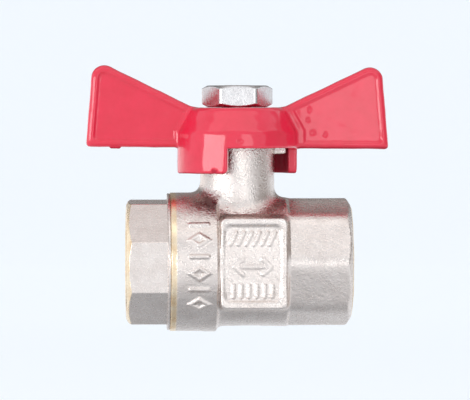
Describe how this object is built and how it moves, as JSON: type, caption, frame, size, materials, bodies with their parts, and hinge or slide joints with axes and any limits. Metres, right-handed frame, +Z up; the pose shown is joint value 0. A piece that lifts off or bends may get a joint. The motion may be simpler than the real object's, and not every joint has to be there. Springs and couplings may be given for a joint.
{
  "type": "ball valve",
  "caption": "Two-way ball valve with threaded female pipe ends and a butterfly handle; a quarter turn of the handle closes the flow path.",
  "frame": {"origin": "centre of the ball, where the flow axis crosses the stem axis", "axes": "+X along the flow axis towards the body's own octagonal end, +Z up the stem towards the handle"},
  "size_m": [0.0628, 0.0288, 0.0549],
  "materials": {
    "nickel_plated_brass": "satin nickel plate over forged and machined brass",
    "chromed_ball": "polished chrome plate over brass",
    "brass": "machined",
    "ptfe": "smooth white",
    "rubber": "matte black",
    "red_paint": "gloss red paint on a die-cast handle",
    "plated_steel": "bright zinc or nickel plate"
  },
  "bodies": {
    "valve": {"valve_body": "nickel_plated_brass", "end_connector": "nickel_plated_brass", "seat_ring_inlet": "ptfe", "seat_ring_outlet": "ptfe", "stem_thrust_washer": "ptfe", "packing_ring_lower": "ptfe", "packing_ring_upper": "ptfe", "packing_gland_nut": "brass"},
    "handle_and_stem": {"stem": "brass", "stem_o_ring": "rubber", "handle": "red_paint", "handle_nut": "plated_steel"},
    "ball": {"ball": "chromed_ball"}
  },
  "joints": [
    {"name": "handle_turn", "type": "hinge", "parent": "valve", "child": "handle_and_stem", "pos_m": [0, 0, 0.0236], "axis": [0, 0, 1], "range_deg": [-90, 0]},
    {"name": "ball_turn", "type": "hinge", "parent": "valve", "child": "ball", "pos_m": [0, 0, 0], "axis": [0, 0, 1], "range_deg": [-90, 0]}
  ],
  "couplings": [
    {"joint": "ball_turn", "follows": "handle_turn", "ratio": 1}
  ]
}
